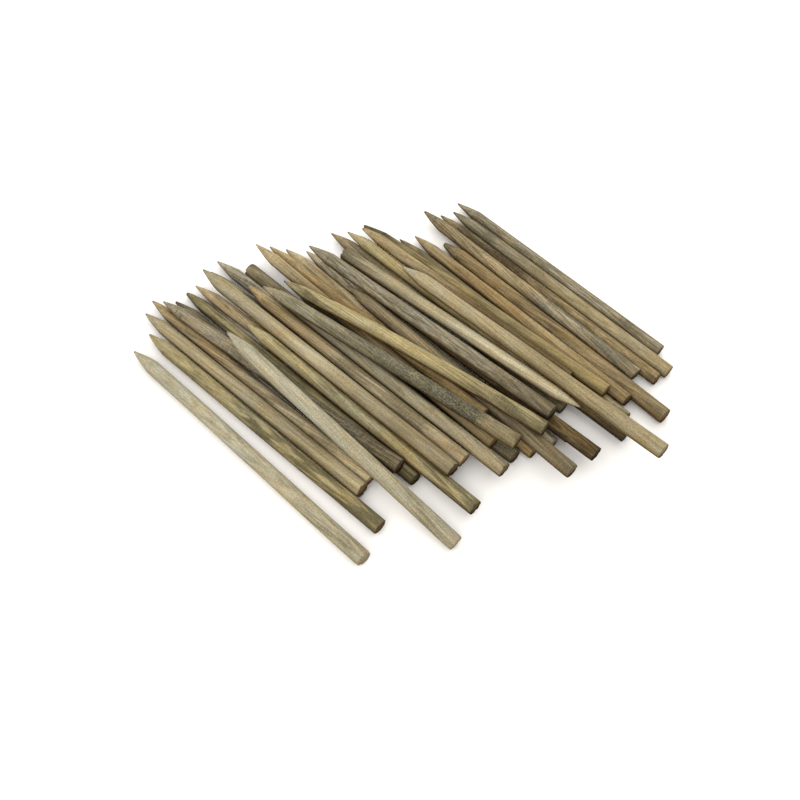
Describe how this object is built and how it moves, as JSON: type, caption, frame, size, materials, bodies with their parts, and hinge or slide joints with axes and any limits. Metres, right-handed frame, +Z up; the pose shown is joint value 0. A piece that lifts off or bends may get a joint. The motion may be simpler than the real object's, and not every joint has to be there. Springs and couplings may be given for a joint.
{
  "type": "wooden garden stakes",
  "caption": "Loose heap of round wooden garden stakes, each sawn square at the butt and sharpened to a pencil point, weathered from pale and tan to olive, grey and brown.",
  "frame": {"origin": "on the ground, under the middle of the heap's bounding box", "axes": "+Z up; the stakes run along Y, most with their points towards +Y; +X across the heap"},
  "size_m": [0.3802, 0.4924, 0.0528],
  "materials": {
    "pale": "bare, freshly peeled, dry",
    "tan": "bare, warm tan, dry",
    "olive": "bare, tinged green, dry",
    "grey": "bare, weathered grey, fibrous",
    "speckled": "bare, blue-grey with dark specks",
    "brown": "bare, weathered brown, rough"
  },
  "bodies": {
    "heap": {"stake_02_olive": "olive", "stake_04_tan": "tan", "stake_06_grey": "grey", "stake_07_olive": "olive", "stake_08_grey": "grey", "stake_09_olive": "olive", "stake_11_tan": "tan", "stake_12_tan": "tan", "stake_13_grey": "grey", "stake_14_pale": "pale", "stake_15_tan": "tan", "stake_16_speckled": "speckled", "stake_18_grey": "grey", "stake_19_brown": "brown", "stake_20_tan": "tan", "stake_21_tan": "tan", "stake_22_tan": "tan", "stake_24_grey": "grey", "stake_25_brown": "brown", "stake_26_brown": "brown", "stake_28_pale": "pale", "stake_29_brown": "brown", "stake_30_olive": "olive", "stake_31_brown": "brown", "stake_33_tan": "tan", "stake_34_olive": "olive", "stake_35_brown": "brown", "stake_36_tan": "tan", "stake_37_tan": "tan", "stake_39_brown": "brown", "stake_41_grey": "grey"},
    "stake_01": {"stake_01_pale": "pale"},
    "stake_03": {"stake_03_pale": "pale"},
    "stake_05": {"stake_05_pale": "pale"},
    "stake_10": {"stake_10_pale": "pale"},
    "stake_17": {"stake_17_speckled": "speckled"},
    "stake_23": {"stake_23_olive": "olive"},
    "stake_27": {"stake_27_grey": "grey"},
    "stake_32": {"stake_32_pale": "pale"},
    "stake_38": {"stake_38_grey": "grey"},
    "stake_40": {"stake_40_pale": "pale"}
  },
  "joints": [
    {"name": "lift_01", "type": "slide", "parent": "heap", "child": "stake_01", "axis": [0, 0, 1], "range_m": [0, 0.1]},
    {"name": "lift_03", "type": "slide", "parent": "heap", "child": "stake_03", "axis": [0, 0, 1], "range_m": [0, 0.1]},
    {"name": "lift_05", "type": "slide", "parent": "heap", "child": "stake_05", "axis": [0, 0, 1], "range_m": [0, 0.1]},
    {"name": "lift_10", "type": "slide", "parent": "heap", "child": "stake_10", "axis": [0, 0, 1], "range_m": [0, 0.1]},
    {"name": "lift_17", "type": "slide", "parent": "heap", "child": "stake_17", "axis": [0, 0, 1], "range_m": [0, 0.1]},
    {"name": "lift_23", "type": "slide", "parent": "heap", "child": "stake_23", "axis": [0, 0, 1], "range_m": [0, 0.1]},
    {"name": "lift_27", "type": "slide", "parent": "heap", "child": "stake_27", "axis": [0, 0, 1], "range_m": [0, 0.1]},
    {"name": "lift_32", "type": "slide", "parent": "heap", "child": "stake_32", "axis": [0, 0, 1], "range_m": [0, 0.1]},
    {"name": "lift_38", "type": "slide", "parent": "heap", "child": "stake_38", "axis": [0, 0, 1], "range_m": [0, 0.1]},
    {"name": "lift_40", "type": "slide", "parent": "heap", "child": "stake_40", "axis": [0, 0, 1], "range_m": [0, 0.1]}
  ]
}
